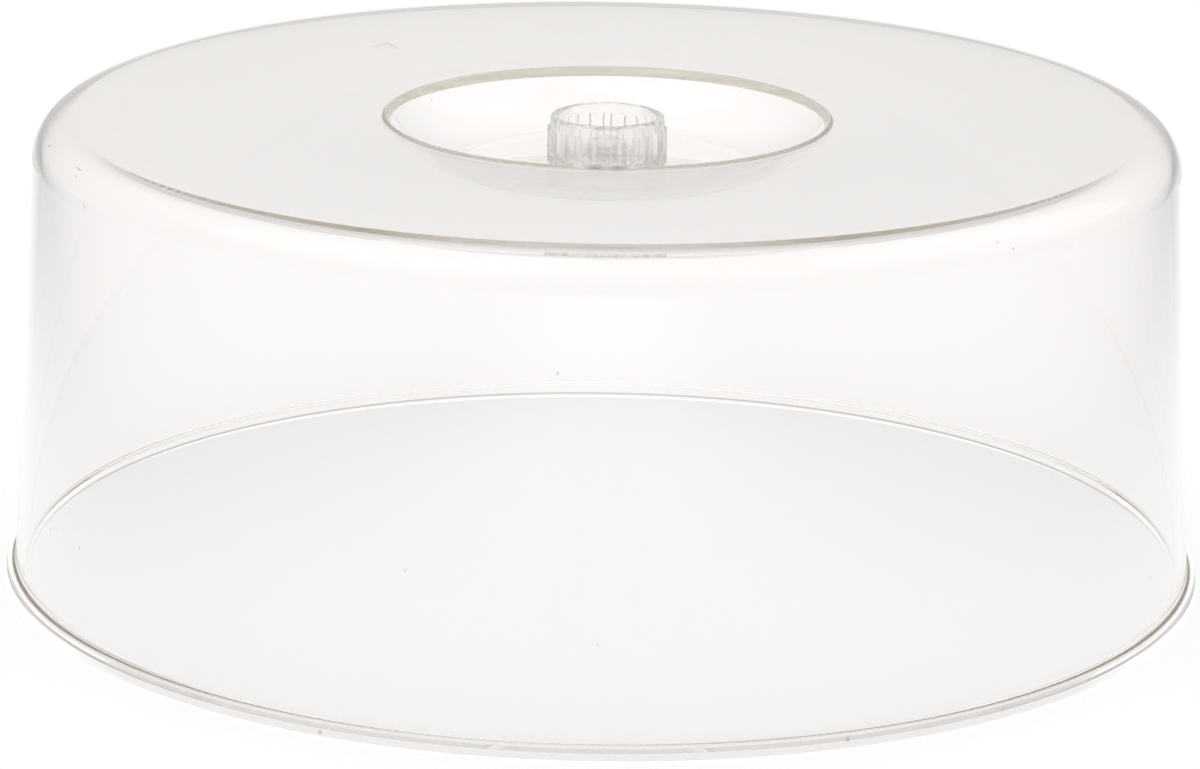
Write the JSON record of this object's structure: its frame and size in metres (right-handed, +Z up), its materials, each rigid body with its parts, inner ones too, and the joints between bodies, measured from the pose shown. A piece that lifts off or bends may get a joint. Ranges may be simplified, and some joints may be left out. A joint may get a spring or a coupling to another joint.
{
  "type": "humidity dome",
  "caption": "Clear round humidity dome with a crowned top, rounded shoulder and flanged foot; a fluted open-cup vent knob turns in a dished finger well.",
  "frame": {"origin": "centre of the foot circle, on the surface the dome stands on", "axes": "+Z up along the knob's axis; -Y towards the viewer"},
  "size_m": [0.305, 0.305, 0.1181],
  "materials": {
    "clear_shell": "clear moulded plastic, glossy with faint handling marks",
    "clear_knob": "clear moulded plastic, glossy, faintly hazy in its thick ribs",
    "clear_hardware": "clear moulded screw and nut",
    "soft_washer": "translucent silicone"
  },
  "bodies": {
    "dome": {"dome_shell": "clear_shell", "pivot_screw": "clear_hardware", "head_washer": "soft_washer", "seal_washer": "soft_washer", "hex_nut": "clear_hardware"},
    "knob": {"vent_knob": "clear_knob"}
  },
  "joints": [
    {"name": "vent_turn", "type": "hinge", "parent": "dome", "child": "knob", "pos_m": [0, 0, 0.1058], "axis": [0, 0, 1], "range_deg": [0, 45]}
  ]
}
